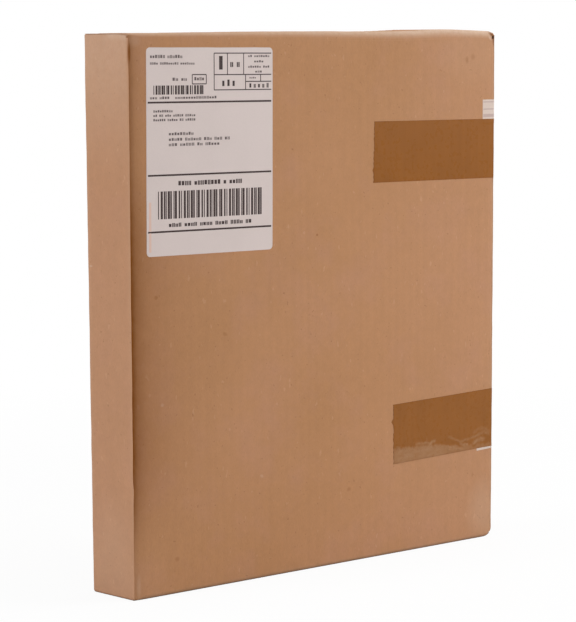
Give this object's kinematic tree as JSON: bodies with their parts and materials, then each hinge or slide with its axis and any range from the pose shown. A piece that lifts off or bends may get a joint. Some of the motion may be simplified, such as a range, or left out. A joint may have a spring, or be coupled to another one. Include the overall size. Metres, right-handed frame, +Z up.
{
  "type": "taped parcel",
  "caption": "Flat rectangular corrugated carton with outer flaps over its top and bottom, closed at its right end with wrapped strips of brown tape, with a shipping label on its front.",
  "frame": {"origin": "middle of the narrow lower side that the parcel stands on", "axes": "+Z up, +X along the front panel towards the taped end, -Y out of the front panel with the label"},
  "size_m": [0.3782, 0.0504, 0.416],
  "materials": {
    "board": "matte brown paper liner with fine fibres",
    "tape": "glossy brown film with wrinkles and a hazy lower edge",
    "label_paper": "smooth matte thermal paper",
    "sticker_paper": "matte white paper",
    "sticker_ink": "matte grey print",
    "black_ink": "matte black thermal print",
    "orange_ink": "matte pale orange print"
  },
  "bodies": {
    "root": {"carton": "board", "upper_tape": "tape", "lower_tape": "tape", "shipping_label": "label_paper", "barcode_sticker": "sticker_paper", "seal_sticker": "sticker_paper", "sticker_bars": "sticker_ink", "label_rules": "black_ink", "label_main_barcode": "black_ink", "label_small_barcode": "black_ink", "label_text": "black_ink", "label_margin_mark": "orange_ink"}
  },
  "joints": []
}
